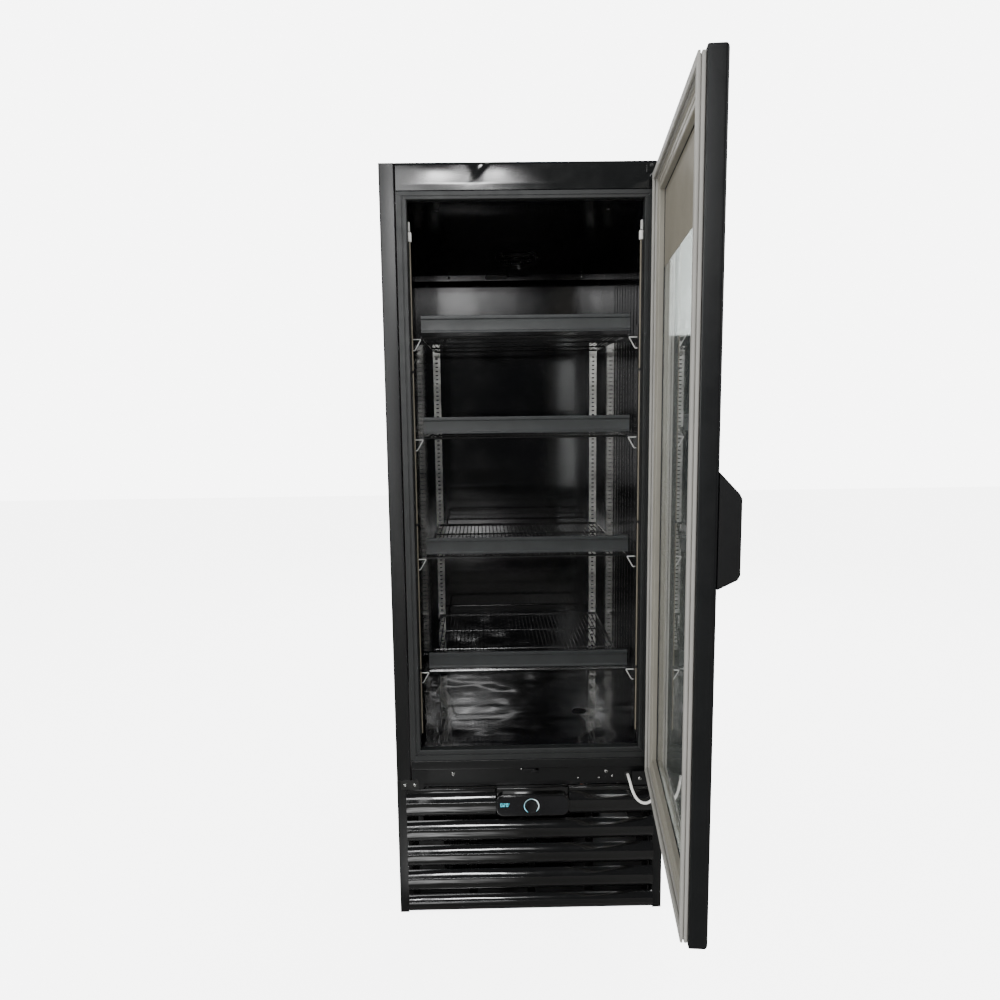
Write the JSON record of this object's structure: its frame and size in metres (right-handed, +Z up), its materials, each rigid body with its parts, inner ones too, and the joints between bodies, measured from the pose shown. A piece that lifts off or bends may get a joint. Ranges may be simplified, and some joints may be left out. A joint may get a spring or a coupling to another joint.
{
  "type": "glass door merchandiser",
  "caption": "Upright single-door glass merchandiser cooler with wire shelves, a right-hinged double-glazed door standing open, a louvred base and a dial control panel.",
  "frame": {"origin": "centre of the cabinet footprint on the floor, on the underside of the base tray", "axes": "+Z up, -Y out of the cabinet front towards the customer, +X to the hinge side of the door"},
  "size_m": [0.657, 1.3791, 1.8],
  "materials": {
    "shell_black": "semi-gloss powder coat",
    "header_gloss_black": "high gloss enamel",
    "liner_black": "high gloss enamel",
    "trim_grey": "satin moulded",
    "wire_black": "satin plastic coating",
    "zinc_steel": "zinc plated",
    "louvre_gloss_black": "polished moulded",
    "lens_black": "polished",
    "black_plastic": "fine grain moulded",
    "door_black": "satin black powder coat",
    "pvc_beige": "satin extruded",
    "gasket_grey": "matte",
    "glass": "clear",
    "aluminium": "mill finish",
    "copper": "bright tube",
    "led_cream": "satin diffuser",
    "lead_white": "satin jacket",
    "compressor_black": "semi-gloss paint"
  },
  "bodies": {
    "cabinet": {"side_panel_left": "shell_black", "side_panel_right": "shell_black", "top_panel": "shell_black", "back_panel": "shell_black", "bottom_rail": "shell_black", "base_tray": "shell_black", "base_side_left": "shell_black", "base_side_right": "shell_black", "hinge_bracket_upper": "shell_black", "hinge_bracket_lower": "shell_black", "header_panel": "header_gloss_black", "liner_left": "liner_black", "liner_right": "liner_black", "liner_back": "liner_black", "liner_ceiling": "liner_black", "liner_floor": "liner_black", "evaporator_cover": "liner_black", "breaker_frame": "trim_grey", "price_rail_1": "trim_grey", "price_rail_2": "trim_grey", "price_rail_3": "trim_grey", "price_rail_4": "trim_grey", "shelf_1": "wire_black", "shelf_2": "wire_black", "shelf_3": "wire_black", "shelf_4": "wire_black", "pilaster_front_left": "wire_black", "pilaster_front_right": "wire_black", "pilaster_rear_left": "zinc_steel", "pilaster_rear_right": "zinc_steel", "hinge_bracket_spare": "zinc_steel", "louvre_grille": "louvre_gloss_black", "control_housing": "louvre_gloss_black", "control_lens": "lens_black", "condenser_fan_shroud": "black_plastic", "condensate_pan": "black_plastic", "mains_gland": "black_plastic", "lead_grommet": "black_plastic", "evaporator_coil": "aluminium", "refrigerant_line": "copper", "led_strip_left": "led_cream", "led_strip_right": "led_cream", "door_lead": "lead_white", "compressor": "compressor_black", "condenser_coil": "compressor_black", "condenser_fan_motor": "compressor_black", "evaporator_fan_motor": "compressor_black"},
    "door": {"door_stile_hinge": "door_black", "door_stile_free": "door_black", "door_rail_top": "door_black", "door_rail_bottom": "door_black", "door_liner": "pvc_beige", "door_gasket": "gasket_grey", "glass_outer": "glass", "glass_inner": "glass", "glass_spacer": "aluminium", "door_handle": "black_plastic"},
    "dial": {"dial_knob": "black_plastic"},
    "condenser_fan": {"condenser_fan_blade": "black_plastic"},
    "evaporator_fan": {"evaporator_fan_blade": "black_plastic"}
  },
  "joints": [
    {"name": "door_hinge", "type": "hinge", "parent": "cabinet", "child": "door", "pos_m": [0.305, -0.389, 1.07], "axis": [0, 0, 1], "range_deg": [-83.8, 36.2]},
    {"name": "temperature_dial", "type": "hinge", "parent": "cabinet", "child": "dial", "pos_m": [0.002, -0.376, 0.2875], "axis": [0, 1, 0], "range_deg": [-135, 135]},
    {"name": "condenser_fan_spin", "type": "hinge", "parent": "cabinet", "child": "condenser_fan", "pos_m": [-0.05, -0.242, 0.165], "axis": [0, 1, 0], "continuous": true},
    {"name": "evaporator_fan_spin", "type": "hinge", "parent": "cabinet", "child": "evaporator_fan", "pos_m": [0, 0.1, 1.7], "axis": [0, 0, 1], "continuous": true}
  ]
}
